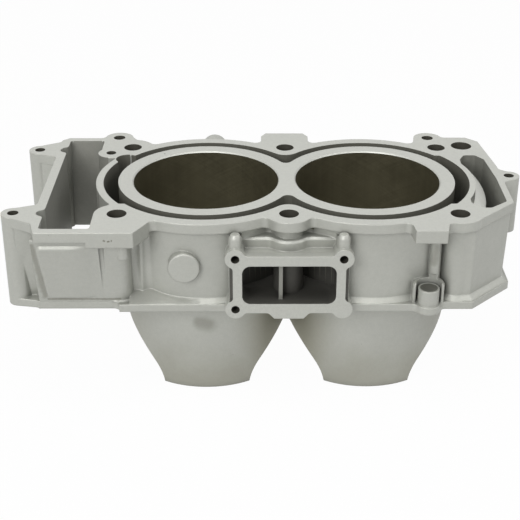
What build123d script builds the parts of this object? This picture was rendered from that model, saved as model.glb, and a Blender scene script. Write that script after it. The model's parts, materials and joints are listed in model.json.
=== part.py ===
"""Twin cylinder block of a liquid-cooled engine, cast in aluminium as one piece.

Frame: the origin is on the crankcase joint face, midway between the two bores.
+Z points up to the head, +X runs along the row of bores away from the chain tunnel,
and -Y is the side that carries the coolant flange. All sizes are millimetres.

A place along the row is given as OUT, its distance outwards from the nearer bore axis.
A place across the row that belongs to the outside is given as BEYOND, its distance
past the edge of the deck, which follows the bores.
"""
import os
from math import atan2, cos, degrees, radians, sin, tan

from build123d import *

# Bores, barrels and the water jacket round them
BORE_RADIUS = 46.5
BORE_PITCH = 104.0
BORE_CHAMFER = 0.8
BARREL_WALL = 9.75
BARREL_NOTCH_RADIUS = 4.0
JACKET_GAP = 6.45
JACKET_NOTCH_RADIUS = 9.1
JACKET_END_GAP = 9.35
JACKET_END_HALF_WIDTH = 39.5
JACKET_END_CORNER = 1.8
JACKET_END_START = 80.0
JACKET_POCKET = (54.0, 33.4)
JACKET_POCKET_RADIUS = 7.4
JACKET_FLOOR = 9.5

# Heights above the crankcase joint face, and the outer wall between its two flanges
BLOCK_HEIGHT = 60.0
DECK_LIP = 6.6
BASE_FLANGE = 5.0
OUTER_WALL = 3.6
DRAFT_ANGLE = 1.9
WALL_BLEND = 3.6
WALL_CORNER = 2.4
LEDGE_RISE = 2.8
LEDGE_RUN = 3.2

# Deck and crankcase flange outlines
DECK_OVERHANG = 3.7
DECK_BLEND = 4.0
BASE_INSET = 1.8
BASE_MARGIN = 1.6

# Head studs, three each side of the bores
STUD_HOLE_RADIUS = 6.0
STUD_ROW_HALF = 54.1
STUD_LAND = 14.0
STUD_COLUMN_RADIUS = 9.6

# Skirts that reach down into the crankcase
SKIRT_LENGTH = 64.0
SKIRT_WALL = 8.0
SKIRT_FULL_LENGTH = 24.5
SKIRT_BEND_HALF_WIDTH = 34.0
SKIRT_BEND_DEPTH = 50.3
SKIRT_TIP_HALF_WIDTH = 27.6
SKIRT_NOTCH_RADIUS = 4.0
SKIRT_CHAMFER = 1.6

# Chain tunnel at the left end: its front and rear walls lean in towards the crankcase
TUNNEL_OUT = 96.0
TUNNEL_MOUTH_IN = 54.0
TUNNEL_FRONT_BEYOND = 5.3
TUNNEL_REAR_SHORT = 3.8
TUNNEL_FOOT_INSET = 13.0
TUNNEL_WALL = 5.2
TUNNEL_RIM = 2.2
TUNNEL_EDGE = 0.6
TUNNEL_INNER_WALL = 4.7
TUNNEL_CORNER_RADIUS = 3.0
TUNNEL_NOTCH_RADIUS = 4.7
TUNNEL_MOUTH_EASE = 2.0
TUNNEL_FRONT_CUT = (3.7, 14.0)
TUNNEL_REAR_CUT = 4.4
TUNNEL_ROOT_OUT = 47.0
TUNNEL_NOSE_OUT = 44.0
TUNNEL_NOSE_RADIUS = 7.0
GROOVE_OUT = 60.9
GROOVE_RADIUS = 3.2
GROOVE_INSET = 1.3
GROOVE_FADE = 0.8
GUSSET_SLOPE = 0.4
GUSSET_OVERLAP = 2.0

# Pad along the front edge of the deck, in front of the tunnel
FRONT_PAD_BEYOND = 11.0
FRONT_PAD_DEPTH = 10.0
FRONT_PAD_OUT = (40.0, 68.0)
FRONT_PAD_SLANT = (8.0, 15.0)

# Left-hand ears with through bolts
EAR_OUT = 114.5
EAR_FRONT_Y = -52.9
EAR_REAR_Y = 49.4
EAR_HOLE_RADIUS = 3.4
EAR_RADIUS = 7.3
EAR_WEB = 14.5
EAR_WEB_REACH = 9.5
EAR_WEB_LEAN = 8.0
EAR_WEB_DEPTH = 10.0
EAR_WEB_SETBACK = 1.5

# Rear bolt ears and the oil ways in the deck
BOLT_HOLE_RADIUS = 4.0
BOLT_EAR_RADIUS = 9.6
BOLT_BEYOND = 2.4
BOLT_LEFT_OUT = 63.0
BOLT_RIGHT_OUT = 48.3
BOLT_WEB = (14.0, 12.0)
OIL_FEED = (65.7, 44.1)
OIL_FEED_RADIUS = 3.3
OIL_FEED_BOSS = 8.7
OIL_RETURN = (69.8, 57.4)
OIL_RETURN_RADIUS = 7.0

# Right-hand end: outer wall, drain passage with its ramp, and side ear
END_OUT = 86.6
END_START_OUT = 48.0
END_CORNER_CUT = 25.5
END_FRONT_INSET = 7.4
END_TAPER = 5.2
END_TAPER_START = 20.0
END_TAPER_STOP = 65.0
END_REAR_BEYOND = 1.9
END_REAR_CUT = 7.0
END_DECK_RIM = 1.2
DRAIN_WALL = 3.4
DRAIN_INNER_WALL = 3.9
DRAIN_INNER_OUT = 61.4
DRAIN_FRONT_Y = -45.6
DRAIN_REAR_Y = 40.2
DRAIN_CORNER_RADIUS = 3.0
DRAIN_RAMP_RADIUS = 77.0
DRAIN_RAMP_Z = 54.0
DRAIN_RAMP_SLOPE = 0.6
DRAIN_RAMP_TILT = 7.0
SIDE_EAR = (92.8, 4.9)
SIDE_EAR_RADIUS = 6.9
SIDE_EAR_HOLE_RADIUS = 3.3
SIDE_EAR_WEB = 11.0
SIDE_EAR_BOTTOM = 22.0

# Coolant flange on the front
PORT_BEYOND = 7.0
PORT_PLATE = 5.5
PORT_HALF_WIDTH = 34.0
PORT_BOTTOM = 3.8
PORT_HEIGHT = 38.4
PORT_BLEND = 2.5
PORT_LOBE_RADIUS = 6.2
PORT_LOBE_DEPTH = 17.0
PORT_HOLE_RADIUS = 2.6
PORT_HOLE_DEPTH = 15.0
PORT_HOLE_HALF_SPACING = 32.5
PORT_HOLE_LOW = 6.3
PORT_HOLE_SPACING = 34.0
PORT_WINDOW = (56.8, 25.6)
PORT_WINDOW_CORNER = 5.2
PORT_TAB_HALF_WIDTH = 12.5
PORT_TAB_SLOPE = 3.6
PORT_NECK_HALF_WIDTH = 29.5
PORT_NECK_TOP = 47.6
PORT_NECK_INSET = 8.0
PORT_NECK_BLEND = 6.0
PORT_NECK_EDGE = 1.3
PORT_SHOULDER = 1.4
PORT_COLUMN_RADIUS = 3.9
PORT_COLUMN_SETBACK = 6.0
PORT_COLUMN_TOP = 54.4
PORT_COLUMN_EDGE = 2.6
PORT_COLUMN_TIE = 0.4
PORT_DIVIDER_X = -5.0
PORT_DIVIDER_WIDTH = 2.4
PORT_DIVIDER_SETBACK = 6.0
PORT_STUD_COLUMN = 9.2
PORT_DEPTH = 41.0

# Bosses, ribs and pads on the walls
ROUND_BOSS_OUT = 11.7
ROUND_BOSS_Z = 30.3
ROUND_BOSS_RADIUS = 9.8
ROUND_BOSS_INSET = 0.4
ROUND_BOSS_EDGE = 0.7
ROUND_BOSS_DEPTH = 10.0
RIB_ANGLE = 56.0
RIB_STAND_OUT = 2.1
LEFT_RIB_RADIUS = 2.6
RIGHT_RIB_RADIUS = 3.6
RIGHT_RIB_BOTTOM = 16.0
LIP_LUG_OUT = 47.5
LIP_LUG_BEYOND = 2.0
LIP_LUG_RADIUS = 3.6
LIP_LUG_BOTTOM = 39.5
RIGHT_PAD_OUT = (22.4, 41.4)
RIGHT_PAD_BEYOND = 8.5
RIGHT_PAD_DEPTH = 8.4
RIGHT_PAD_SLANT = (2.5, 4.7)
LOWER_BOSS_OUT = 34.2
LOWER_BOSS_INSET = 4.0
LOWER_BOSS_RADIUS = 6.6
LOWER_BOSS_TOP = 15.4
LOWER_BOSS_DISH = 1.2
LOWER_BOSS_RIM = 1.2
LOWER_BOSS_GROOVE = 1.3
LOWER_BOSS_COLLAR = 3.4
LOWER_BOSS_COLLAR_RISE = 3.0
LOWER_BOSS_COLLAR_EDGE = 1.5
REAR_PAD_HALF_WIDTH = 16.3
REAR_PAD_BEYOND = 11.0
REAR_PAD_CUT = (3.3, 6.0)
REAR_PAD_ROOT = 50.0
REAR_PAD_DEPTH = 13.0
REAR_PORT_OUT = -3.0
REAR_PORT_Z = 49.5
REAR_PORT_BEYOND = 14.0
REAR_PORT_RADIUS = 8.5
REAR_PORT_BORE = 5.1
REAR_PORT_DEPTH = 15.0
REAR_BOSS_ROOT = 8.0
REAR_LUG_HALF_SPACING = 20.8
REAR_LUG_Z = 48.5
REAR_LUG_BEYOND = 4.5
REAR_LUG_RADIUS = 5.5
REAR_LUG_HOLE = 2.6
REAR_LUG_DEPTH = 12.0

# How far a cutting tool passes through the faces that it opens
OVERRUN = 1.0


def left(out):
    """The x of a place this far outwards from the left bore axis."""
    return -BORE_PITCH / 2 - out


def right(out):
    """The x of a place this far outwards from the right bore axis."""
    return BORE_PITCH / 2 + out


def disc(x, y, radius):
    """A round area."""
    return Pos(x, y) * Circle(radius)


def area(x0, x1, y0, y1):
    """A rectangular area between two corners."""
    return Pos((x0 + x1) / 2, (y0 + y1) / 2) * Rectangle(abs(x1 - x0), abs(y1 - y0))


def outline(*points):
    """An area with straight sides through the given points."""
    return make_face(Polyline(*points, close=True))


def web(x0, y0, half0, x1, y1, half1):
    """A straight web from one point to another, with its own half width at each end."""
    along = Vector(x1 - x0, y1 - y0).normalized()
    side = Vector(-along.Y, along.X)
    start, end = Vector(x0, y0), Vector(x1, y1)
    corners = [start + side * half0, end + side * half1, end - side * half1, start - side * half0]
    return outline(*[(c.X, c.Y) for c in corners])


def rounded(plan, radius):
    """The same area with its inner corners filled to a radius."""
    return offset(offset(plan, radius, kind=Kind.ARC), -radius, kind=Kind.ARC)


def eased(plan, radius):
    """The same area with its outer corners cut to a radius."""
    return offset(offset(plan, -radius, kind=Kind.ARC), radius, kind=Kind.ARC)


def prism(plan, low, high):
    """A plan area raised between two heights."""
    return extrude(Pos(0, 0, low) * plan, amount=high - low)


def post(x, y, radius, low, high):
    """A round vertical post between two heights."""
    return prism(disc(x, y, radius), low, high)


def along_row(profile, x0, x1):
    """A profile drawn as (y, z) points, carried along the row of bores."""
    face = make_face(Polyline(*[(x0, y, z) for y, z in profile], close=True))
    return extrude(face, amount=x1 - x0, dir=(1, 0, 0))


def forward(x, y, z):
    """A plane at a place on the front whose normal points into the block."""
    return Plane(origin=(x, y, z), x_dir=(1, 0, 0), z_dir=(0, 1, 0))


def backward(x, y, z):
    """A plane at a place on the rear whose normal points into the block."""
    return Plane(origin=(x, y, z), x_dir=(1, 0, 0), z_dir=(0, -1, 0))


def rod(plane, radius, length):
    """A round rod that starts at a plane and runs along its normal."""
    return plane * Pos(0, 0, length / 2) * Cylinder(radius, length)


def bore_discs(radius):
    """A disc of this radius on each bore axis."""
    return disc(left(0), 0, radius) + disc(right(0), 0, radius)


def twin(radius, notch_radius):
    """Two discs on the bore axes, with the notches between them rounded."""
    pair = bore_discs(radius)
    notches = [v for v in pair.vertices() if abs(v.X) < BORE_CHAMFER]
    return fillet(notches, notch_radius)


barrel_radius = BORE_RADIUS + BARREL_WALL
jacket_radius = barrel_radius + JACKET_GAP
jacket_end_radius = barrel_radius + JACKET_END_GAP
wall_radius = jacket_radius + OUTER_WALL
deck_radius = wall_radius + DECK_OVERHANG
skirt_radius = BORE_RADIUS + SKIRT_WALL
lip_low = BLOCK_HEIGHT - DECK_LIP
draft_shift = (lip_low - BASE_FLANGE) * tan(radians(DRAFT_ANGLE))

stud_places = [(x, y) for x in (-BORE_PITCH, 0, BORE_PITCH) for y in (-STUD_ROW_HALF, STUD_ROW_HALF)]
ear_places = [(left(EAR_OUT), EAR_FRONT_Y, -1), (left(EAR_OUT), EAR_REAR_Y, 1)]
bolt_y = deck_radius + BOLT_BEYOND
bolt_places = [(left(BOLT_LEFT_OUT), bolt_y), (right(BOLT_RIGHT_OUT), bolt_y)]

tunnel_left = left(TUNNEL_OUT)
tunnel_outer = tunnel_left - TUNNEL_WALL - TUNNEL_EDGE
tunnel_front = -deck_radius - TUNNEL_FRONT_BEYOND
tunnel_rear = deck_radius - TUNNEL_REAR_SHORT
tunnel_foot = deck_radius - TUNNEL_FOOT_INSET
pad_front = -deck_radius - FRONT_PAD_BEYOND
side_ear = (right(SIDE_EAR[0]), SIDE_EAR[1])

port_face = -deck_radius - PORT_BEYOND
port_top = PORT_BOTTOM + PORT_HEIGHT
port_lobes = [(x, z) for z in (PORT_HOLE_LOW + PORT_HOLE_SPACING, PORT_HOLE_LOW)
              for x in (-PORT_HOLE_HALF_SPACING, PORT_HOLE_HALF_SPACING)]
rib_reach = wall_radius + RIB_STAND_OUT
lower_boss = (right(LOWER_BOSS_OUT), LOWER_BOSS_INSET - deck_radius)


def bolt_web(x, y, radius):
    """A rear bolt ear with the web that ties it to the wall in front of it."""
    reach, half = BOLT_WEB
    return disc(x, y, radius) + web(x, y, radius, x, y - reach, half)


def right_end_plan():
    """The outer wall round the drain passage at the right-hand end."""
    reach, start = right(END_OUT), right(END_START_OUT)
    front, rear = END_FRONT_INSET - deck_radius, deck_radius + END_REAR_BEYOND
    return outline((start, front), (reach - END_CORNER_CUT, front), (reach, front + END_CORNER_CUT),
                   (reach, END_TAPER_START), (reach - END_TAPER, END_TAPER_STOP),
                   (reach - END_TAPER - END_REAR_CUT, rear), (start, rear))


def rear_pad_plan():
    """The pad at the middle of the rear edge, with its corners cut."""
    half, reach, root = REAR_PAD_HALF_WIDTH, deck_radius + REAR_PAD_BEYOND, REAR_PAD_ROOT
    cut_x, cut_y = REAR_PAD_CUT
    return outline((-half, root), (-half, reach - cut_y), (cut_x - half, reach), (half - cut_x, reach),
                   (half, reach - cut_y), (half, root))


def right_pad_plan():
    """The pad on the front edge near the right-hand stud, with splayed sides."""
    low, high = (right(out) for out in RIGHT_PAD_OUT)
    front, root = -deck_radius - RIGHT_PAD_BEYOND, -STUD_ROW_HALF
    return outline((low - RIGHT_PAD_SLANT[0], root), (low, front), (high, front),
                   (high + RIGHT_PAD_SLANT[1], root))


def front_pad_plan():
    """The deep part of the pad in front of the chain tunnel."""
    inner, outer = (left(out) for out in FRONT_PAD_OUT)
    root = pad_front + FRONT_PAD_SLANT[1]
    return outline((outer, root), (outer, pad_front), (inner, pad_front), (inner + FRONT_PAD_SLANT[0], root),
                   (inner + FRONT_PAD_SLANT[0], -STUD_ROW_HALF), (outer, -STUD_ROW_HALF))


def deck_plan():
    """The outline of the machined deck."""
    plan = bore_discs(deck_radius)
    for x, y in stud_places:
        plan += disc(x, y, STUD_LAND)
    rear_edge = tunnel_rear + TUNNEL_WALL
    cut_x, cut_y = TUNNEL_FRONT_CUT
    plan += outline((tunnel_outer, pad_front + cut_y), (tunnel_outer + cut_x, pad_front),
                    (-BORE_PITCH, pad_front), (-BORE_PITCH, rear_edge),
                    (tunnel_outer + TUNNEL_REAR_CUT, rear_edge), (tunnel_outer, rear_edge - TUNNEL_REAR_CUT))
    for x, y, side in ear_places:
        plan += disc(x, y, EAR_RADIUS) + web(x, y, EAR_RADIUS, tunnel_outer + TUNNEL_RIM, y + side, EAR_WEB)
    for x, y in bolt_places:
        plan += bolt_web(x, y, BOLT_EAR_RADIUS)
    plan += offset(right_end_plan(), END_DECK_RIM, kind=Kind.INTERSECTION)
    plan += disc(*side_ear, SIDE_EAR_RADIUS) + web(*side_ear, SIDE_EAR_RADIUS, right(END_OUT) - DRAIN_WALL,
                                                   side_ear[1], SIDE_EAR_WEB + OUTER_WALL)
    plan += front_pad_plan() + right_pad_plan() + rear_pad_plan()
    return rounded(plan, DECK_BLEND)


def base_plan():
    """The outline of the flange that is bolted to the crankcase."""
    edge, margin = deck_radius - BASE_INSET, BASE_MARGIN + DECK_OVERHANG
    foot = tunnel_foot + TUNNEL_WALL + BASE_MARGIN
    plan = area(-BORE_PITCH, BORE_PITCH - STUD_LAND, -edge, edge)
    plan += area(tunnel_outer, -BORE_PITCH, -foot, foot)
    plan += offset(right_end_plan(), BASE_MARGIN + END_DECK_RIM, kind=Kind.INTERSECTION)
    for x, y, side in ear_places:
        tie = web(x, y, EAR_RADIUS, tunnel_outer + TUNNEL_WALL, y + side, STUD_COLUMN_RADIUS)
        plan += disc(x, y, EAR_RADIUS) + tie
    for x, y in bolt_places:
        plan += bolt_web(x, y, BOLT_EAR_RADIUS)
    plan += disc(*lower_boss, LOWER_BOSS_RADIUS + LOWER_BOSS_GROOVE)
    band = area(-4 * BORE_PITCH, 4 * BORE_PITCH, -deck_radius - margin, deck_radius + 4 * margin)
    return rounded(plan & band, DECK_BLEND)


def wall_plan():
    """The outer wall just under the deck: bore walls, stud and bolt columns and ribs as one outline."""
    plan = bore_discs(wall_radius) + right_end_plan()
    for x, y in stud_places:
        plan += disc(x, y, STUD_COLUMN_RADIUS)
    for x, y in bolt_places:
        plan += bolt_web(x, y, BOLT_EAR_RADIUS - TUNNEL_EDGE)
    rib = left(rib_reach * cos(radians(RIB_ANGLE))), -rib_reach * sin(radians(RIB_ANGLE))
    plan += disc(*rib, LEFT_RIB_RADIUS)
    return eased(rounded(plan, WALL_BLEND), WALL_CORNER)


def ledge_plan():
    """The outline of the sloped ledge at the foot of the outer wall."""
    return offset(wall_plan(), LEDGE_RUN - draft_shift, kind=Kind.ARC)


def outer_walls():
    """The drafted outer wall under the deck, with the sloped ledge where it meets the lower flange."""
    wall = extrude(Pos(0, 0, lip_low) * wall_plan(), amount=-lip_low, taper=DRAFT_ANGLE)
    slope = degrees(atan2(LEDGE_RUN, LEDGE_RISE))
    return wall + extrude(Pos(0, 0, BASE_FLANGE) * ledge_plan(), amount=LEDGE_RISE, taper=slope)


def jacket_plan():
    """The open water jacket seen from the head, with the barrels left standing in it."""
    outer = twin(jacket_radius, JACKET_NOTCH_RADIUS)
    for x in (left(0), right(0)):
        band = area(x - BORE_PITCH, x + BORE_PITCH, -JACKET_END_HALF_WIDTH, JACKET_END_HALF_WIDTH)
        band -= area(-JACKET_END_START, JACKET_END_START, -BORE_PITCH, BORE_PITCH)
        outer += disc(x, 0, jacket_end_radius) & band
    outer += disc(left(JACKET_POCKET[0]), JACKET_POCKET[1], JACKET_POCKET_RADIUS)
    corners = [v for v in outer.vertices() if abs(v.X) > BORE_PITCH]
    return fillet(corners, JACKET_END_CORNER) - twin(barrel_radius, BARREL_NOTCH_RADIUS)


def tunnel_plan():
    """The mouth of the chain tunnel in the deck."""
    mouth = area(tunnel_left, left(TUNNEL_MOUTH_IN), tunnel_front, tunnel_rear)
    for x, y, side in ear_places:
        mouth += disc(tunnel_left, y, TUNNEL_NOTCH_RADIUS)
    mouth -= disc(left(0), 0, jacket_end_radius + TUNNEL_INNER_WALL)
    mouth -= disc(-BORE_PITCH, -STUD_ROW_HALF, STUD_LAND)
    mouth -= area(-BORE_PITCH - STUD_LAND, 0, tunnel_front, -STUD_ROW_HALF)
    mouth -= disc(left(OIL_FEED[0]), OIL_FEED[1], OIL_FEED_BOSS)
    mouth -= area(bolt_places[0][0] - BOLT_EAR_RADIUS, 0, OIL_FEED[1], tunnel_rear)
    return rounded(eased(mouth, TUNNEL_MOUTH_EASE), TUNNEL_CORNER_RADIUS)


def drain_plan():
    """The mouth of the oil drain passage in the deck."""
    inner, outer = right(DRAIN_INNER_OUT), right(END_OUT) - DRAIN_WALL + END_DECK_RIM / 2
    third = (outer - inner) / 3
    mouth = outline((inner, DRAIN_FRONT_Y + third), (inner + third, DRAIN_FRONT_Y),
                    (inner + 1.5 * third, DRAIN_FRONT_Y), (outer, -JACKET_END_HALF_WIDTH + DRAIN_WALL),
                    (outer, 0), (outer - third / 3, DRAIN_REAR_Y - third), (outer - third, DRAIN_REAR_Y),
                    (inner + third, DRAIN_REAR_Y), (inner + third / 2, DRAIN_REAR_Y - third))
    mouth -= disc(right(0), 0, jacket_end_radius + DRAIN_INNER_WALL)
    return fillet(mouth.vertices(), DRAIN_CORNER_RADIUS)


def drain_cut():
    """The drain passage. Its inner wall thickens below the deck by a ramp, outwards and forwards."""
    top = jacket_end_radius + DRAIN_INNER_WALL
    slope = Pos(right(0), 0, DRAIN_RAMP_Z) * Rot(DRAIN_RAMP_TILT, 0, 0) * Pos(0, 0, -BLOCK_HEIGHT / 2)
    slope = slope * Cone(top + BLOCK_HEIGHT / DRAIN_RAMP_SLOPE, top, BLOCK_HEIGHT)
    ramp = post(right(0), 0, DRAIN_RAMP_RADIUS, -2 * OVERRUN, BLOCK_HEIGHT) & slope
    return prism(drain_plan(), -OVERRUN, BLOCK_HEIGHT + OVERRUN) - ramp


def tunnel_housing():
    """The chain tunnel's outer shell. Its front and rear walls lean in towards the crankcase."""
    top_front, low_front = tunnel_front - TUNNEL_RIM, -tunnel_foot - TUNNEL_WALL
    top_rear, low_rear = tunnel_rear + TUNNEL_WALL - TUNNEL_EDGE, tunnel_foot + TUNNEL_WALL
    shell = along_row([(top_front, lip_low), (top_rear, lip_low), (low_rear, 0), (low_front, 0)],
                      tunnel_left - TUNNEL_WALL, -BORE_PITCH)
    root = STUD_ROW_HALF - STUD_COLUMN_RADIUS / 2
    shell += prism(area(-BORE_PITCH - OVERRUN, left(TUNNEL_ROOT_OUT), -root, root), 0, lip_low)
    nose_end = left(TUNNEL_NOSE_OUT)
    nose = along_row([(top_front, lip_low), (-STUD_ROW_HALF, lip_low), (-STUD_ROW_HALF, 0), (low_front, 0)],
                     -BORE_PITCH - STUD_LAND, nose_end)
    corner = [e for e in nose.edges().filter_by_position(Axis.X, nose_end - OVERRUN, nose_end + OVERRUN)
              if abs(e.tangent_at(0.5).Z) > 0.5 and e.center().Y < -STUD_ROW_HALF - OVERRUN]
    nose = fillet(corner, TUNNEL_NOSE_RADIUS)
    lean = (low_front - top_front) / lip_low
    groove = Plane(origin=(left(GROOVE_OUT), top_front - GROOVE_INSET, lip_low + OVERRUN),
                   z_dir=(0, GROOVE_FADE * lean, -1))
    return shell + nose - rod(groove, GROOVE_RADIUS, BLOCK_HEIGHT)


def left_ears():
    """The two bolt columns on the left edge, each tied to the tunnel by a leaning web."""
    inner, outer = tunnel_outer + TUNNEL_WALL, left(EAR_OUT) + EAR_WEB_SETBACK
    ears = Part()
    for x, y, side in ear_places:
        face, back = y + side * EAR_WEB_REACH, y - side * EAR_WEB_DEPTH
        profile = [(face, lip_low), (face - side * EAR_WEB_LEAN, 0), (back, 0), (back, lip_low)]
        tie = along_row(profile, outer, inner)
        tie &= prism(web(x, y, EAR_RADIUS, inner, y + side, EAR_WEB), 0, lip_low)
        ears += post(x, y, EAR_RADIUS, 0, lip_low) + tie
    return ears


def side_ear_column():
    """The bolt ear at the right-hand end, which ends part of the way down."""
    x, y = side_ear
    tie = web(x, y, SIDE_EAR_RADIUS, right(END_OUT) - DRAIN_WALL, y, SIDE_EAR_WEB)
    plan = disc(x, y, SIDE_EAR_RADIUS) + tie
    return prism(plan, SIDE_EAR_BOTTOM, lip_low)


def port_neck():
    """The hollow neck behind the coolant flange, and the columns that carry its upper screws."""
    half, land = PORT_NECK_HALF_WIDTH, STUD_LAND - PORT_COLUMN_TIE
    throat = area(-half, half, PORT_NECK_INSET - deck_radius, -STUD_ROW_HALF + land)
    plan = disc(0, -STUD_ROW_HALF, land) + throat
    neck = prism(rounded(plan, PORT_NECK_BLEND), 0, PORT_NECK_TOP)
    rim = neck.edges().filter_by_position(Axis.Z, PORT_NECK_TOP - OVERRUN, PORT_NECK_TOP + OVERRUN)
    edge = [e for e in rim if e.center().Y < PORT_NECK_INSET - deck_radius + OVERRUN]
    neck = chamfer(edge, PORT_NECK_EDGE)
    root = PORT_NECK_INSET + PORT_COLUMN_RADIUS - deck_radius
    neck += prism(area(-half, half, port_face + PORT_PLATE, root), PORT_BOTTOM, port_top - PORT_SHOULDER)
    for side in (-1, 1):
        x, y = side * PORT_HOLE_HALF_SPACING, port_face + PORT_COLUMN_SETBACK
        column = post(x, y, PORT_COLUMN_RADIUS, PORT_HOLE_LOW, PORT_COLUMN_TOP)
        neck += chamfer(column.edges().group_by(Axis.Z)[-1], PORT_COLUMN_EDGE, PORT_COLUMN_EDGE / 2)
        tie = area(x - PORT_COLUMN_RADIUS, x + PORT_COLUMN_RADIUS, y, -STUD_ROW_HALF)
        neck += prism(tie, PORT_HOLE_LOW, PORT_COLUMN_TOP - PORT_COLUMN_RADIUS)
    return neck


def port_plate():
    """The coolant flange itself: a plate with four lobes and a tab, and the posts behind the lobes."""
    half, tab, slope = PORT_HALF_WIDTH, PORT_TAB_HALF_WIDTH, PORT_TAB_SLOPE
    plate = area(-half, half, PORT_BOTTOM, port_top)
    plate += outline((-tab, PORT_BOTTOM), (slope - tab, 0), (tab - slope, 0), (tab, PORT_BOTTOM))
    for x, z in port_lobes:
        plate += disc(x, z, PORT_LOBE_RADIUS)
    front = forward(0, port_face, 0)
    port = extrude(front * mirror(rounded(plate, PORT_BLEND), Plane.XZ), amount=PORT_PLATE)
    for x, z in port_lobes:
        port += rod(forward(x, port_face, z), PORT_LOBE_RADIUS - TUNNEL_EDGE, PORT_LOBE_DEPTH)
    return port


def port_cavity():
    """The window of the coolant flange and the space behind it that opens into the water jacket."""
    width, height = PORT_WINDOW
    window = RectangleRounded(width, height, PORT_WINDOW_CORNER)
    space = extrude(forward(0, port_face, (PORT_BOTTOM + port_top) / 2) * window, amount=PORT_DEPTH)
    space -= prism(twin(barrel_radius, BARREL_NOTCH_RADIUS), 0, BLOCK_HEIGHT)
    space -= post(0, -STUD_ROW_HALF, PORT_STUD_COLUMN, 0, BLOCK_HEIGHT)
    half = PORT_DIVIDER_WIDTH / 2
    divider = area(PORT_DIVIDER_X - half, PORT_DIVIDER_X + half, port_face + PORT_DIVIDER_SETBACK,
                   -STUD_ROW_HALF)
    space -= prism(divider, 0, BLOCK_HEIGHT)
    return space


def gusset():
    """The long sloped foot between the tunnel's nose and the wall round the left bore."""
    front, back = BASE_INSET - deck_radius, -BORE_RADIUS
    rise = GUSSET_SLOPE * (back - front)
    return along_row([(front, BASE_FLANGE), (back, BASE_FLANGE), (back, BASE_FLANGE + rise)],
                     left(TUNNEL_NOSE_OUT) - GUSSET_OVERLAP, left(0))


def small_bosses():
    """The pads, ribs and bosses on the outside of the walls."""
    face_y = ROUND_BOSS_INSET - deck_radius
    boss = rod(forward(left(ROUND_BOSS_OUT), face_y, ROUND_BOSS_Z), ROUND_BOSS_RADIUS, ROUND_BOSS_DEPTH)
    bosses = chamfer(boss.edges().group_by(Axis.Y)[0], ROUND_BOSS_EDGE)
    bosses += prism(right_pad_plan(), BLOCK_HEIGHT - RIGHT_PAD_DEPTH, lip_low)
    bosses += prism(front_pad_plan(), BLOCK_HEIGHT - FRONT_PAD_DEPTH, lip_low)
    rib_x, rib_y = right(rib_reach * cos(radians(RIB_ANGLE))), -rib_reach * sin(radians(RIB_ANGLE))
    bosses += post(rib_x, rib_y, RIGHT_RIB_RADIUS, RIGHT_RIB_BOTTOM, lip_low)
    bosses += post(left(LIP_LUG_OUT), -deck_radius - LIP_LUG_BEYOND, LIP_LUG_RADIUS, LIP_LUG_BOTTOM, lip_low)
    bosses += prism(rear_pad_plan(), BLOCK_HEIGHT - REAR_PAD_DEPTH, lip_low)
    port = backward(left(REAR_PORT_OUT), deck_radius + REAR_PORT_BEYOND, REAR_PORT_Z)
    bosses += rod(port, REAR_PORT_RADIUS, REAR_PORT_BEYOND + REAR_BOSS_ROOT)
    for x in (-REAR_LUG_HALF_SPACING, REAR_LUG_HALF_SPACING):
        bosses += rod(backward(x, deck_radius + REAR_LUG_BEYOND, REAR_LUG_Z), REAR_LUG_RADIUS,
                      REAR_LUG_BEYOND + REAR_BOSS_ROOT)
    return bosses + gusset()


def lower_collar():
    """The raised collar behind the lower boss."""
    x, y = lower_boss
    reach = LOWER_BOSS_RADIUS + LOWER_BOSS_COLLAR
    collar = post(x, y + LOWER_BOSS_COLLAR, reach, BASE_FLANGE, LOWER_BOSS_TOP + LOWER_BOSS_COLLAR_RISE)
    return chamfer(collar.edges().group_by(Axis.Z)[-1], LOWER_BOSS_COLLAR_EDGE)


def lower_boss_groove():
    """The ring cut round the lower boss, open to the front."""
    x, y = lower_boss
    reach, top = LOWER_BOSS_RADIUS + LOWER_BOSS_GROOVE, LOWER_BOSS_TOP + 2 * LOWER_BOSS_COLLAR_RISE
    ring = disc(x, y, reach) + area(x - 2 * reach, x + 2 * reach, y - 2 * reach, y)
    return prism(ring, BASE_FLANGE, top) - post(x, y, LOWER_BOSS_RADIUS, 0, LOWER_BOSS_TOP)


def tongue_side():
    """Half of one skirt's front view: full width, a straight slope, then an arc down to the tip."""
    full = skirt_radius + OVERRUN
    start, bend = (full, -SKIRT_FULL_LENGTH), (SKIRT_BEND_HALF_WIDTH, -SKIRT_BEND_DEPTH)
    tip = (SKIRT_TIP_HALF_WIDTH, -SKIRT_LENGTH)
    slope = Line(start, bend)
    curve = TangentArc(bend, tip, tangent=(bend[0] - start[0], bend[1] - start[1]))
    rest = Polyline(tip, (0, -SKIRT_LENGTH), (0, BASE_FLANGE), (full, BASE_FLANGE), start)
    return make_face([slope, curve, rest])


def skirts():
    """The two skirts, cut away at the sides so that the crank webs can pass."""
    half = tongue_side()
    tongue = half + mirror(half, Plane.YZ)
    profile = Pos(left(0), 0) * tongue + Pos(right(0), 0) * tongue
    notch = [v for v in profile.vertices() if abs(v.X) < BORE_CHAMFER and v.Y < 0]
    profile = fillet(notch, SKIRT_NOTCH_RADIUS)
    arch = extrude(Plane.XZ * profile, amount=BORE_PITCH, both=True)
    return prism(bore_discs(skirt_radius), -SKIRT_LENGTH, BASE_FLANGE) & arch


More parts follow.
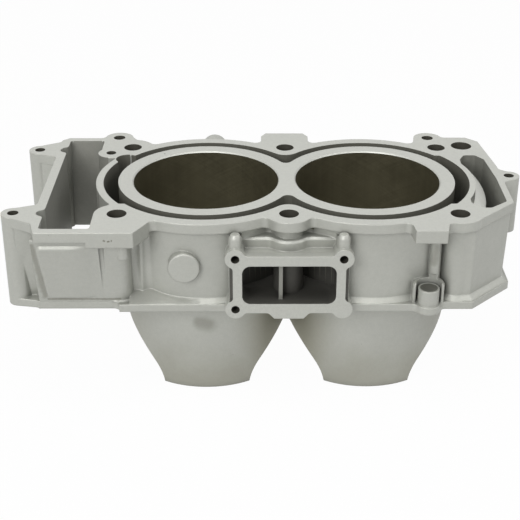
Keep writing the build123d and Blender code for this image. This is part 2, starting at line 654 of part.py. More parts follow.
def holes():
    """Every vertical hole: bores, studs, bolts, the oil feed and the oil return."""
    low, high = -OVERRUN, BLOCK_HEIGHT + OVERRUN
    cut = prism(bore_discs(BORE_RADIUS), -SKIRT_LENGTH - OVERRUN, high)
    for x in (left(0), right(0)):
        head_edge = Cone(BORE_RADIUS, BORE_RADIUS + BORE_CHAMFER, BORE_CHAMFER)
        skirt_edge = Cone(BORE_RADIUS + SKIRT_CHAMFER, BORE_RADIUS, SKIRT_CHAMFER)
        cut += Pos(x, 0, BLOCK_HEIGHT - BORE_CHAMFER / 2) * head_edge
        cut += Pos(x, 0, SKIRT_CHAMFER / 2 - SKIRT_LENGTH) * skirt_edge
    through = [(x, y, STUD_HOLE_RADIUS) for x, y in stud_places]
    through += [(x, y, EAR_HOLE_RADIUS) for x, y, side in ear_places]
    through += [(x, y, BOLT_HOLE_RADIUS) for x, y in bolt_places]
    through += [(left(OIL_FEED[0]), OIL_FEED[1], OIL_FEED_RADIUS)]
    through += [(right(OIL_RETURN[0]), OIL_RETURN[1], OIL_RETURN_RADIUS)]
    through += [(*side_ear, SIDE_EAR_HOLE_RADIUS)]
    for x, y, radius in through:
        cut += post(x, y, radius, low, high)
    return cut


def tapped_holes():
    """The blind holes in the coolant flange and in the rear bosses, and the dish in the lower boss."""
    port = backward(left(REAR_PORT_OUT), deck_radius + REAR_PORT_BEYOND, REAR_PORT_Z)
    cut = rod(port, REAR_PORT_BORE, REAR_PORT_DEPTH)
    for x, z in port_lobes[:3]:
        cut += rod(forward(x, port_face, z), PORT_HOLE_RADIUS, PORT_HOLE_DEPTH)
    for x in (-REAR_LUG_HALF_SPACING, REAR_LUG_HALF_SPACING):
        cut += rod(backward(x, deck_radius + REAR_LUG_BEYOND, REAR_LUG_Z), REAR_LUG_HOLE, REAR_LUG_DEPTH)
    rim = LOWER_BOSS_RADIUS - LOWER_BOSS_RIM
    ball = (rim ** 2 + LOWER_BOSS_DISH ** 2) / (2 * LOWER_BOSS_DISH)
    dish = Pos(*lower_boss, LOWER_BOSS_TOP + ball - LOWER_BOSS_DISH) * Sphere(ball)
    return cut + (dish & post(*lower_boss, rim, LOWER_BOSS_TOP - OVERRUN - LOWER_BOSS_DISH, LOWER_BOSS_TOP))


def tunnel_cut():
    """The chain tunnel itself: the deck mouth, narrowed towards the crankcase by the leaning walls."""
    lean_front = (-tunnel_foot - tunnel_front) / BLOCK_HEIGHT * OVERRUN
    lean_rear = (tunnel_rear - tunnel_foot) / BLOCK_HEIGHT * OVERRUN
    low, high = -OVERRUN, BLOCK_HEIGHT + OVERRUN
    passage = along_row([(tunnel_front - lean_front, high), (tunnel_rear + lean_rear, high),
                         (tunnel_foot - lean_rear, low), (-tunnel_foot + lean_front, low)],
                        tunnel_left - TUNNEL_WALL, left(TUNNEL_MOUTH_IN))
    return passage & prism(tunnel_plan(), low, high)


block = prism(deck_plan(), lip_low, BLOCK_HEIGHT) + prism(base_plan(), 0, BASE_FLANGE)
for feature in (outer_walls, tunnel_housing, left_ears, side_ear_column, port_neck, port_plate,
                small_bosses, lower_collar):
    block += feature()
block -= lower_boss_groove()
block += skirts()
for cut in (prism(jacket_plan(), JACKET_FLOOR, BLOCK_HEIGHT + OVERRUN), port_cavity(), tunnel_cut(),
            drain_cut(), holes(), tapped_holes()):
    block -= cut
block.label = "cylinder_block"

os.makedirs("parts", exist_ok=True)
export_step(block, "parts/cylinder_block.step")
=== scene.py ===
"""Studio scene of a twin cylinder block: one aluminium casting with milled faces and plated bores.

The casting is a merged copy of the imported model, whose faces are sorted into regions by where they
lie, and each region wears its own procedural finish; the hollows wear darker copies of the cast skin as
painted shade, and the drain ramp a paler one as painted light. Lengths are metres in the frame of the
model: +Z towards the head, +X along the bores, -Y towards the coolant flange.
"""
from __future__ import annotations

import json
import logging
from dataclasses import dataclass
from enum import Enum
from math import cos, radians, sin, tau
from typing import Any

import bpy
import numpy as np
from mathutils import Matrix, Vector

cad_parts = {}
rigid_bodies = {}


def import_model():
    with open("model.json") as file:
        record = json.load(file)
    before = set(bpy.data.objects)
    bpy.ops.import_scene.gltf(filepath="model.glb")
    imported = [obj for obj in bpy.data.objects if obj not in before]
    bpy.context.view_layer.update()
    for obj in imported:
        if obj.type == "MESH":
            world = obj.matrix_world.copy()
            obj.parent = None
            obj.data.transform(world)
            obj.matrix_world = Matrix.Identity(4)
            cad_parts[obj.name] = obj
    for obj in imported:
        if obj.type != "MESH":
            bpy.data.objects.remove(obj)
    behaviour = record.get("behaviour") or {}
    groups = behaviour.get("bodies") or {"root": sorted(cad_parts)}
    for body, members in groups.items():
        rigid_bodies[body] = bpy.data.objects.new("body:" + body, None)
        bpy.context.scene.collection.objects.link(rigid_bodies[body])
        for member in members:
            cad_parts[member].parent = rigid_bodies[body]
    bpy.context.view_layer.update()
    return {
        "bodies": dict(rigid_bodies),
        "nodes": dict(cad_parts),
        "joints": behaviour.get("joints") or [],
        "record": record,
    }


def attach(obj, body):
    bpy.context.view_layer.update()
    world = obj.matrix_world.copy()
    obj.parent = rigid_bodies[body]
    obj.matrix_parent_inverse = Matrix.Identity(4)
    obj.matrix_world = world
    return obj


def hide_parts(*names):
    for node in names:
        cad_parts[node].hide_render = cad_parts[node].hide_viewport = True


log = logging.getLogger("cylinder_block")

BODY = "root"
Socket = bpy.types.NodeSocket
Colour = tuple[float, float, float]
Point = tuple[float, float, float]
Couple = tuple[float, float]
Box = tuple[Point, Point]


def srgb(red: int, green: int, blue: int) -> Colour:
    """Turns a colour as seen on screen, 0 to 255, into linear light.

    Args:
        red: Red as displayed.
        green: Green as displayed.
        blue: Blue as displayed.

    Returns:
        The three linear values, 0 to 1.
    """
    shown = np.array((red, green, blue)) / 255.0
    linear = np.where(shown <= 0.04045, shown / 12.92, ((shown + 0.055) / 1.055) ** 2.4)
    return tuple(float(v) for v in linear)


class Wiring:
    """A node tree with short calls that add nodes, set their sockets and join them."""

    def __init__(self, tree: bpy.types.NodeTree) -> None:
        """Keeps the tree that the calls work on."""
        self.tree = tree

    def set(self, socket: Socket, value: Any) -> None:
        """Joins a socket to another one, or gives it a plain value.

        Args:
            socket: The input to fill.
            value: An output socket, a number, or a tuple for a vector or a colour.
        """
        if isinstance(value, bpy.types.NodeSocket):
            self.tree.links.new(value, socket)
        elif socket.type == "RGBA" and len(value) == 3:
            socket.default_value = (*value, 1.0)
        else:
            socket.default_value = value

    def add(self, kind: str, inputs: dict[str | int, Any] | None = None, **settings: Any) -> bpy.types.Node:
        """Adds one node.

        Args:
            kind: The node's type name.
            inputs: Values or sockets for its inputs, by name or index.
            settings: Properties of the node itself.

        Returns:
            The new node.
        """
        node = self.tree.nodes.new(kind)
        for name, value in settings.items():
            setattr(node, name, value)
        for key, value in (inputs or {}).items():
            self.set(node.inputs[key], value)
        return node

    def math(self, operation: str, *values: Any) -> Socket:
        """Adds a Math node and returns its result."""
        return self.add("ShaderNodeMath", dict(enumerate(values)), operation=operation).outputs[0]

    def vector(self, operation: str, first: Any, second: Any) -> Socket:
        """Adds a Vector Math node and returns its vector, or its value where the result is a number."""
        node = self.add("ShaderNodeVectorMath", {0: first, 1: second}, operation=operation)
        return node.outputs["Value" if operation in ("DOT_PRODUCT", "DISTANCE") else "Vector"]

    def point(self, x: Any, y: Any, z: Any = 0.0) -> Socket:
        """Joins three values into a vector."""
        return self.add("ShaderNodeCombineXYZ", {0: x, 1: y, 2: z}).outputs[0]

    def spread(self, value: Any, low: Any, high: Any, to_low: Any = 0.0, to_high: Any = 1.0) -> Socket:
        """Maps a range of a value onto another range, clamped at both ends, with soft shoulders.

        Args:
            value: The value to map.
            low: Where the range starts, as a number or a socket.
            high: Where it ends.
            to_low: The result at the start.
            to_high: The result at the end.

        Returns:
            The mapped value.
        """
        inputs = {0: value, 1: low, 2: high, 3: to_low, 4: to_high}
        node = self.add("ShaderNodeMapRange", inputs, interpolation_type="SMOOTHSTEP")
        return node.outputs[0]

    def blend(self, factor: Any, first: Any, second: Any) -> Socket:
        """Mixes two colours.

        Args:
            factor: The share of the second colour.
            first: The first colour.
            second: The second colour.

        Returns:
            The mixed colour.
        """
        node = self.add("ShaderNodeMix", data_type="RGBA")
        self.set(node.inputs[0], factor)
        self.set(node.inputs[6], first)
        self.set(node.inputs[7], second)
        return node.outputs[2]

    def noise(self, place: Socket, scale: float, detail: float = 2.0, roughness: float = 0.5) -> Socket:
        """Adds a noise texture at a place and returns its value, which lies round one half."""
        inputs = {"Vector": place, "Scale": scale, "Detail": detail, "Roughness": roughness}
        return self.add("ShaderNodeTexNoise", inputs).outputs[0]

    def stretched(self, place: Socket, scale: Point) -> Socket:
        """Scales a place differently along each axis, so that a pattern on it is drawn out."""
        return self.add("ShaderNodeMapping", {"Vector": place, "Scale": scale}).outputs[0]


class Effect:
    """A node group that several finishes share, made once and placed with its own values."""

    made: dict[str, bpy.types.NodeTree] = {}
    title: str = ""
    inputs: dict[str, float] = {}
    outputs: dict[str, str] = {}

    @classmethod
    def tree(cls) -> bpy.types.NodeTree:
        """Makes the group's node tree at the first call.

        Returns:
            The node tree that all placed groups of this kind share.
        """
        if cls.title in cls.made:
            return cls.made[cls.title]
        tree = bpy.data.node_groups.new(cls.title, "ShaderNodeTree")
        for name, default in cls.inputs.items():
            socket = tree.interface.new_socket(name, in_out="INPUT", socket_type="NodeSocketFloat")
            socket.default_value = default
        for name, kind in cls.outputs.items():
            tree.interface.new_socket(name, in_out="OUTPUT", socket_type=kind)
        wiring = Wiring(tree)
        start = wiring.add("NodeGroupInput")
        results = cls.wire(wiring, {name: start.outputs[name] for name in cls.inputs})
        wiring.add("NodeGroupOutput", results)
        cls.made[cls.title] = tree
        return tree

    @classmethod
    def wire(cls, wiring: Wiring, given: dict[str, Socket]) -> dict[str, Socket]:
        """Builds the inside of the group from its inputs, and returns what feeds its outputs, by name."""
        raise NotImplementedError

    @classmethod
    def place(cls, wiring: Wiring, **values: Any) -> bpy.types.bpy_prop_collection:
        """Places the group in a material.

        Args:
            wiring: The material's node tree.
            values: The group's inputs by name, with underscores for spaces.

        Returns:
            The outputs of the placed group.
        """
        node = wiring.add("ShaderNodeGroup", node_tree=cls.tree())
        for name, value in values.items():
            wiring.set(node.inputs[name.replace("_", " ")], value)
        return node.outputs


class BlastedGrain(Effect):
    """The fine grain of a sand-cast skin after blasting, with slow patches of lighter and darker metal."""

    title = "blasted grain"
    inputs = {"Grain": 1100.0, "Patches": 28.0}
    outputs = {"Shade": "NodeSocketFloat", "Patch": "NodeSocketFloat", "Height": "NodeSocketFloat"}
    coarser: float = 0.3
    fine_share: float = 0.6
    patch_range: Couple = (0.35, 0.68)

    @classmethod
    def wire(cls, wiring: Wiring, given: dict[str, Socket]) -> dict[str, Socket]:
        """Adds a fine, a middle and a slow noise.

        Args:
            wiring: The group's node tree.
            given: The group's inputs by name.

        Returns:
            The sockets that feed the group's outputs, by name.
        """
        place = wiring.add("ShaderNodeTexCoord").outputs["Object"]
        fine = wiring.noise(place, given["Grain"], detail=2.0, roughness=0.6)
        middle = wiring.noise(place, wiring.math("MULTIPLY", given["Grain"], cls.coarser), detail=2.0)
        slow = wiring.noise(place, given["Patches"], detail=3.0, roughness=0.55)
        fine_part = wiring.math("MULTIPLY", fine, cls.fine_share)
        shade = wiring.math("ADD", fine_part, wiring.math("MULTIPLY", middle, 1.0 - cls.fine_share))
        return {"Shade": shade, "Patch": wiring.spread(slow, *cls.patch_range), "Height": shade}


class Pores(Effect):
    """Small round gas pores that show dark where a casting is cut or blasted open."""

    title = "pores"
    inputs = {"Scale": 170.0, "Share": 0.07, "Size": 0.09}
    outputs = {"Mask": "NodeSocketFloat"}
    smallest: float = 0.35

    @classmethod
    def wire(cls, wiring: Wiring, given: dict[str, Socket]) -> dict[str, Socket]:
        """Keeps a share of the cells of a Voronoi texture and draws a dot of a size in each of them.

        Args:
            wiring: The group's node tree.
            given: The group's inputs by name.

        Returns:
            The sockets that feed the group's outputs, by name.
        """
        place = wiring.add("ShaderNodeTexCoord").outputs["Object"]
        cells = wiring.add("ShaderNodeTexVoronoi", {"Vector": place, "Scale": given["Scale"]})
        pick = wiring.add("ShaderNodeSeparateColor", {0: cells.outputs["Color"]})
        kept = wiring.math("LESS_THAN", pick.outputs[0], given["Share"])
        size = wiring.math("MULTIPLY", given["Size"], wiring.math("ADD", pick.outputs[1], cls.smallest))
        dot = wiring.math("LESS_THAN", cells.outputs["Distance"], size)
        return {"Mask": wiring.math("MULTIPLY", kept, dot)}


class SoftEdges(Effect):
    """The small rounding of a casting's edges, and the pale line along them, which stands for rubbing wear
    and is also a painted highlight.
    """

    title = "soft edges"
    inputs = {"Radius": 0.0006}
    outputs = {"Normal": "NodeSocketVector", "WornAndHighlit": "NodeSocketFloat"}
    edge_wear_and_highlight_range: Couple = (0.965, 0.78)

    @classmethod
    def wire(cls, wiring: Wiring, given: dict[str, Socket]) -> dict[str, Socket]:
        """Compares the rounded normal with the plain one, which differ only near an edge.

        Args:
            wiring: The group's node tree.
            given: The group's inputs by name.

        Returns:
            The sockets that feed the group's outputs, by name.
        """
        bevel = wiring.add("ShaderNodeBevel", {"Radius": given["Radius"]}, samples=6)
        plain = wiring.add("ShaderNodeNewGeometry").outputs["Normal"]
        same = wiring.vector("DOT_PRODUCT", bevel.outputs[0], plain)
        return {"Normal": bevel.outputs[0], "WornAndHighlit": wiring.spread(same, *cls.edge_wear_and_highlight_range)}


class PaintedCornerShade(Effect):
    """Painted shade in the corners of a casting: the colour is darkened where the surface is closed in."""

    title = "painted_corner_shade"
    inputs = {"Reach": 0.006}
    outputs = {"PaintedShade": "NodeSocketFloat"}
    open_range: Couple = (0.92, 0.3)

    @classmethod
    def wire(cls, wiring: Wiring, given: dict[str, Socket]) -> dict[str, Socket]:
        """Turns the openness of the surface within a short reach into painted shade that darkens the corners.
        """
        openness = wiring.add("ShaderNodeAmbientOcclusion", {"Distance": given["Reach"]}, samples=8)
        return {"PaintedShade": wiring.spread(openness.outputs["AO"], *cls.open_range)}


class SkirtDarkening(Effect):
    """Darkens the skirts with an olive-grey colour towards their lower edge, and paints shade on their flanks
    away from the bore's axis.
    """

    title = "skirt darkening"
    inputs = {"Start": -0.024, "End": -0.066, "Strength": 0.6, "Inner flanks": 0.95, "Outer flanks": 0.45,
              "Axis X": 0.052}
    outputs = {"Darkening": "NodeSocketFloat"}
    cloud_scale: float = 38.0
    cloud_depth: float = 0.03
    outer_range: Couple = (0.026, 0.055)
    inner_range: Couple = (-0.012, -0.046)
    flank_top: Couple = (0.0, -0.02)

    @classmethod
    def wire(cls, wiring: Wiring, given: dict[str, Socket]) -> dict[str, Socket]:
        """Fades in downwards, broken up by slow noise, and towards the flanks away from the bore's axis.

        Args:
            wiring: The group's node tree.
            given: The group's inputs by name.

        Returns:
            The sockets that feed the group's outputs, by name.
        """
        place = wiring.add("ShaderNodeTexCoord").outputs["Object"]
        across, _, height = wiring.add("ShaderNodeSeparateXYZ", {0: place}).outputs
        clouds = wiring.noise(place, cls.cloud_scale, detail=3.0, roughness=0.55)
        clouds = wiring.math("MULTIPLY", clouds, cls.cloud_depth)
        level = wiring.math("SUBTRACT", height, wiring.math("SUBTRACT", clouds, cls.cloud_depth / 2))
        low = wiring.spread(level, given["Start"], given["End"], 0.0, given["Strength"])
        across = wiring.math("SUBTRACT", wiring.math("ABSOLUTE", across), given["Axis X"])
        # Painted shade on the flanks: between the skirts, where they shade each other, and at their outer
        # edges, which turn away from the light.
        outer = wiring.spread(across, *cls.outer_range, 0.0, given["Outer flanks"])
        inner = wiring.spread(across, *cls.inner_range, 0.0, given["Inner flanks"])
        flank = wiring.math("MAXIMUM", outer, inner)
        flank = wiring.math("MULTIPLY", flank, wiring.spread(height, *cls.flank_top))
        return {"Darkening": wiring.math("MAXIMUM", low, flank)}


class DarkStroke(Effect):
    """One pore, dent or dark patch of its own, or painted shade in a crease, drawn as a stroke between two
    points.
    """

    title = "dark_stroke"
    inputs = {"X": 0.0, "Y": 0.0, "Z": 0.0, "End X": 0.0, "End Y": 0.0, "End Z": 0.0, "Radius": 0.001,
              "Core": 0.0006, "Grain": 400.0}
    outputs = {"Mask": "NodeSocketFloat"}
    noise_range: Couple = (0.3, 0.7)
    uneven: Couple = (0.75, 1.3)
    shortest: float = 1e-12

    @classmethod
    def wire(cls, wiring: Wiring, given: dict[str, Socket]) -> dict[str, Socket]:
        """Fades out between the core and the radius of the stroke, with an outline that noise makes uneven.

        The nearest point of the stroke is its start plus its run times the share, 0 to 1, at which the
        place projects onto the run.

        Args:
            wiring: The group's node tree.
            given: The group's inputs by name.

        Returns:
            The sockets that feed the group's outputs, by name.
        """
        place = wiring.add("ShaderNodeTexCoord").outputs["Object"]
        start = wiring.point(given["X"], given["Y"], given["Z"])
        end = wiring.point(given["End X"], given["End Y"], given["End Z"])
        run = wiring.vector("SUBTRACT", end, start)
        along = wiring.vector("DOT_PRODUCT", wiring.vector("SUBTRACT", place, start), run)
        whole = wiring.math("MAXIMUM", wiring.vector("DOT_PRODUCT", run, run), cls.shortest)
        share = wiring.math("MINIMUM", wiring.math("MAXIMUM", wiring.math("DIVIDE", along, whole), 0.0), 1.0)
        scaled = wiring.add("ShaderNodeVectorMath", {0: run, "Scale": share}, operation="SCALE").outputs[0]
        far = wiring.vector("DISTANCE", place, wiring.vector("ADD", start, scaled))
        uneven = wiring.spread(wiring.noise(place, given["Grain"]), *cls.noise_range, *cls.uneven)
        ragged = wiring.math("MULTIPLY", far, uneven)
        return {"Mask": wiring.spread(ragged, given["Radius"], given["Core"])}


class CutterMarks(Effect):
    """Fine arcs that a wide face mill leaves on a flat face, as rings about a far-off centre."""

    title = "cutter marks"
    inputs = {"Centre X": 0.0, "Centre Y": -0.9, "Pitch": 0.0011}
    outputs = {"Ridge": "NodeSocketFloat"}
    full_turn: float = 6.2832
    break_scale: float = 220.0

    @classmethod
    def wire(cls, wiring: Wiring, given: dict[str, Socket]) -> dict[str, Socket]:
        """Takes the sine of the distance to the centre over the pitch, broken up by noise along the arc.

        Args:
            wiring: The group's node tree.
            given: The group's inputs by name.

        Returns:
            The sockets that feed the group's outputs, by name.
        """
        place = wiring.add("ShaderNodeTexCoord").outputs["Object"]
        x, y, _ = wiring.add("ShaderNodeSeparateXYZ", {0: place}).outputs
        across = wiring.math("SUBTRACT", x, given["Centre X"])
        along = wiring.math("SUBTRACT", y, given["Centre Y"])
        squares = wiring.math("MULTIPLY", across, across), wiring.math("MULTIPLY", along, along)
        far = wiring.math("SQRT", wiring.math("ADD", *squares))
        turned = wiring.math("MULTIPLY", far, cls.full_turn)
        ridge = wiring.math("SINE", wiring.math("DIVIDE", turned, given["Pitch"]))
        broken = wiring.noise(place, cls.break_scale, detail=2.0)
        return {"Ridge": wiring.math("MULTIPLY", ridge, broken)}


class HoneLines(Effect):
    """The crossed helical scratches of a honed bore, drawn on the angle and height about its axis."""

    title = "hone lines"
    inputs = {"Axis X": 0.052, "Radius": 0.0465, "Slope": 0.6}
    outputs = {"Scratch": "NodeSocketFloat", "Streak": "NodeSocketFloat"}
    crossing: float = 0.6
    along_scratch: float = 0.02
    drawn_out: Point = (1.0, 1.0, 0.03)
    along_streak: float = 0.05
    scratch_scale: float = 1500.0
    streak_scale: float = 130.0

    @classmethod
    def wire(cls, wiring: Wiring, given: dict[str, Socket]) -> dict[str, Socket]:
        """Unrolls the bore and reads stretched noise along two crossing directions and straight down.

        Args:
            wiring: The group's node tree.
            given: The group's inputs by name.

        Returns:
            The sockets that feed the group's outputs, by name.
        """
        place = wiring.add("ShaderNodeTexCoord").outputs["Object"]
        x, y, z = wiring.add("ShaderNodeSeparateXYZ", {0: place}).outputs
        across = wiring.math("SUBTRACT", wiring.math("ABSOLUTE", x), given["Axis X"])
        girth = wiring.math("MULTIPLY", wiring.math("ARCTAN2", y, across), given["Radius"])
        lean = wiring.math("MULTIPLY", z, given["Slope"])
        slanted = wiring.math("MULTIPLY", girth, cls.crossing)
        length = wiring.math("MULTIPLY", girth, cls.along_scratch)
        scratches = []
        for side in ("ADD", "SUBTRACT"):
            unrolled = wiring.point(wiring.math(side, z, slanted), length, lean)
            drawn = wiring.stretched(unrolled, cls.drawn_out)
            scratches.append(wiring.noise(drawn, cls.scratch_scale, detail=2.0))
        crossed = wiring.math("MULTIPLY", wiring.math("ADD", *scratches), 0.5)
        down = wiring.point(girth, wiring.math("MULTIPLY", z, cls.along_streak))
        streak = wiring.noise(down, cls.streak_scale, detail=4.0, roughness=0.65)
        return {"Scratch": crossed, "Streak": streak}


@dataclass(frozen=True)
class Finish:
    """A surface finish, with the values that the shader takes directly."""

    name: str
    colour: Colour
    metallic: float = 0.35
    roughness: float = 0.55
    edge: float = 0.0006
    relief: float = 0.00004

    def material(self) -> bpy.types.Material:
        """Makes the material at the first call, and wires its colour, roughness and normal.

        Returns:
            The finish's material.
        """
        if self.name in bpy.data.materials:
            return bpy.data.materials[self.name]
        material = bpy.data.materials.new(self.name)
        material.use_nodes = True
        wiring = Wiring(material.node_tree)
        shader = material.node_tree.nodes["Principled BSDF"]
        shader.inputs["Metallic"].default_value = self.metallic
        shader.inputs["Roughness"].default_value = self.roughness
        colour, roughness, normal = self.wire(wiring)
        wiring.set(shader.inputs["Base Color"], colour)
        wiring.set(shader.inputs["Roughness"], roughness)
        wiring.set(shader.inputs["Normal"], normal)
        return material

    def wire(self, wiring: Wiring) -> tuple[Any, Any, Any]:
        """Builds the finish's own nodes, and returns the base colour, the roughness and the normal."""
        raise NotImplementedError

    def tone(self, factor: float) -> Colour:
        """The finish's colour made darker or lighter by a factor."""
        return tuple(min(v * factor, 1.0) for v in self.colour)

    def mottle(self, wiring: Wiring, value: Socket, limits: Couple, tones: Couple) -> Socket:
        """Mixes two tones of the finish's colour by where a value lies between two limits."""
        return wiring.blend(wiring.spread(value, *limits), *map(self.tone, tones))

    def over(self, wiring: Wiring, under: Socket, mask: Socket, share: float, colour: Colour) -> Socket:
        """Lays a share of a new colour over the one below where a mask shows."""
        return wiring.blend(wiring.math("MULTIPLY", mask, share), under, colour)

    def bump(self, wiring: Wiring, height: Socket, normal: Socket, strength: float = 1.0) -> Socket:
        """Adds a share of the finish's relief to a normal, at a height from 0 to 1."""
        inputs = {"Height": height, "Normal": normal, "Distance": self.relief, "Strength": strength}
        return wiring.add("ShaderNodeBump", inputs).outputs[0]


@dataclass(frozen=True)
class Stroke:
    """Where a dark stroke starts and ends, how wide it is, and how much of it shows."""

    start: Point
    end: Point
    radius: float
    strength: float


@dataclass(frozen=True)
class CastSkin(Finish):
    """Blasted aluminium as it left the mould: matt, faintly warm, with grain and patches, pale edges of wear
    and painted highlight, and painted shade in its corners.
    """

    grain: float = 1100.0
    grain_range: Couple = (0.3, 0.7)
    grain_tones: Couple = (0.965, 1.03)
    polish: float = 0.03
    patches: float = 0.12
    patch_tone: float = 0.8
    # Share and tone of the pale edges, which are rubbing wear and a painted highlight.
    edge_wear_and_highlight: float = 0.4
    edge_wear_and_highlight_tone: float = 1.45
    # Share and tone of the painted shade in the corners.
    corner_shade: float = 0.36
    corner_shade_tone: float = 0.3
    pores: float = 0.5
    pore_tone: float = 0.4
    # The colour of the skirts' darkening towards their lower edge and of their painted flank shade.
    skirt_darkening_colour: Colour = srgb(142, 140, 125)
    stroke_colour: Colour = srgb(92, 90, 74)
    marks_and_crease_shade: tuple[Stroke, ...] = ()
    stroke_core: float = 0.2
    stroke_grain: float = 0.4

    def wire(self, wiring: Wiring) -> tuple[Any, Any, Any]:
        """Lays the patches, the skirts' darkening with its painted flank shade, the pale edges of wear and
        painted highlight, the painted corner shade, the pores and the dark strokes over the grain.

        Args:
            wiring: The material's node tree.

        Returns:
            The sockets for the base colour, the roughness and the normal.
        """
        grain = BlastedGrain.place(wiring, Grain=self.grain)
        edges = SoftEdges.place(wiring, Radius=self.edge)
        pores = Pores.place(wiring)
        painted_corner_shade = PaintedCornerShade.place(wiring)
        pale, dark = self.roughness - self.polish, self.roughness + self.polish
        metal = self.mottle(wiring, grain["Shade"], self.grain_range, self.grain_tones)
        metal = self.over(wiring, metal, grain["Patch"], self.patches, self.tone(self.patch_tone))
        # Darker towards the skirts' lower edge, with painted shade on their flanks.
        metal = wiring.blend(SkirtDarkening.place(wiring)["Darkening"], metal, self.skirt_darkening_colour)
        # Pale edges: rubbing wear, and also a painted highlight along the rounded edges.
        metal = self.over(wiring, metal, edges["WornAndHighlit"], self.edge_wear_and_highlight, self.tone(self.edge_wear_and_highlight_tone))
        # Painted shade: the colour is darkened in corners, where ambient occlusion finds the surface closed
        # in.
        metal = self.over(wiring, metal, painted_corner_shade["PaintedShade"], self.corner_shade, self.tone(self.corner_shade_tone))
        metal = self.over(wiring, metal, pores["Mask"], self.pores, self.tone(self.pore_tone))
        # Dark strokes: pores, nicks and dark patches, and painted shade in the creases by the tunnel's panel.
        for stroke in self.marks_and_crease_shade:
            places = dict(zip(("X", "Y", "Z", "End_X", "End_Y", "End_Z"), (*stroke.start, *stroke.end)))
            mark = DarkStroke.place(wiring, Radius=stroke.radius, Core=stroke.radius * self.stroke_core,
                                 Grain=self.stroke_grain / stroke.radius, **places)["Mask"]
            metal = self.over(wiring, metal, mark, stroke.strength, self.stroke_colour)
        roughness = wiring.spread(grain["Shade"], *self.grain_range, dark, pale)
        return metal, roughness, self.bump(wiring, grain["Height"], edges["Normal"])


@dataclass(frozen=True)
class MilledFace(Finish):
    """A face cut flat by a mill: paler and finer than the skin, with cutter arcs and open pores."""

    centre: Couple = (0.0, -0.9)
    grain_range: Couple = (0.35, 0.65)
    grain_tones: Couple = (0.95, 1.05)
    patches: float = 0.2
    patch_tone: float = 0.84
    pores: float = 0.85
    pore_tone: float = 0.15
    ridge_range: Couple = (-0.6, 0.6)
    polish: float = 0.06
    shown_relief: float = 0.5

    def wire(self, wiring: Wiring) -> tuple[Any, Any, Any]:
        """Mixes the cutter's arcs, slow patches and pores.

        Args:
            wiring: The material's node tree.

        Returns:
            The sockets for the base colour, the roughness and the normal.
        """
        marks = CutterMarks.place(wiring, Centre_X=self.centre[0], Centre_Y=self.centre[1])
        grain = BlastedGrain.place(wiring, Grain=1600.0, Patches=16.0)
        edges = SoftEdges.place(wiring, Radius=self.edge)
        pores = Pores.place(wiring, Scale=110.0, Share=0.05, Size=0.07)
        smooth, rough = self.roughness - self.polish, self.roughness + self.polish
        metal = self.mottle(wiring, grain["Shade"], self.grain_range, self.grain_tones)
        metal = self.over(wiring, metal, grain["Patch"], self.patches, self.tone(self.patch_tone))
        metal = self.over(wiring, metal, pores["Mask"], self.pores, self.tone(self.pore_tone))
        roughness = wiring.spread(marks["Ridge"], *self.ridge_range, smooth, rough)
        height = wiring.math("SUBTRACT", marks["Ridge"], pores["Mask"])
        return metal, roughness, self.bump(wiring, height, edges["Normal"], self.shown_relief)


@dataclass(frozen=True)
class PlatedBore(Finish):
    """A plated and honed bore: dark olive, with crossed scratches and faint streaks along the stroke, and
    painted light that makes it paler towards its lower end.
    """

    streak_range: Couple = (0.3, 0.7)
    streak_tones: Couple = (0.92, 1.12)
    scratch_range: Couple = (0.42, 0.62)
    scratches: float = 0.3
    scratch_tone: float = 1.5
    deck_z: float = 0.06
    low_painted_light: float = 0.5
    low_painted_light_tone: float = 1.9
    honed_range: Couple = (0.35, 0.65)
    polish: float = 0.07

    def wire(self, wiring: Wiring) -> tuple[Any, Any, Any]:
        """Mixes the hone lines into the colour, the roughness and the relief, and paints the lower part of
        the bore paler.

        Args:
            wiring: The material's node tree.

        Returns:
            The sockets for the base colour, the roughness and the normal.
        """
        lines = HoneLines.place(wiring)
        plain = wiring.add("ShaderNodeNewGeometry").outputs["Normal"]
        place = wiring.add("ShaderNodeTexCoord").outputs["Object"]
        height = wiring.add("ShaderNodeSeparateXYZ", {0: place}).outputs[2]
        scratched = wiring.spread(lines["Scratch"], *self.scratch_range, 0.0, self.scratches)
        # Painted light: the bore grows paler towards its lower end.
        glow = wiring.spread(height, self.deck_z, 0.0, 0.0, self.low_painted_light)
        smooth, rough = self.roughness - self.polish, self.roughness + self.polish
        metal = self.mottle(wiring, lines["Streak"], self.streak_range, self.streak_tones)
        metal = wiring.blend(scratched, metal, self.tone(self.scratch_tone))
        metal = wiring.blend(glow, metal, self.tone(self.low_painted_light_tone))
        roughness = wiring.spread(lines["Scratch"], *self.honed_range, smooth, rough)
        return metal, roughness, self.bump(wiring, lines["Scratch"], plain)


class Region(Enum):
    """The parts of the casting's surface that wear a material of their own: a finish, a darker copy of the
    cast skin as painted shade in a hollow, and a paler copy as painted light on the drain ramp.
    """

    SKIN = "cast skin"
    DECK = "milled deck"
    FLANGE = "milled flange faces"
    BORE = "plated bores"
    JACKET = "water jacket"
    DRILLED = "drilled holes"
    TUNNEL = "chain tunnel"
    PORT = "coolant window"
    RIB = "rib across the window"
    DRAIN = "drain passage"
    RAMP = "drain ramp"
    SPOT = "spot face"


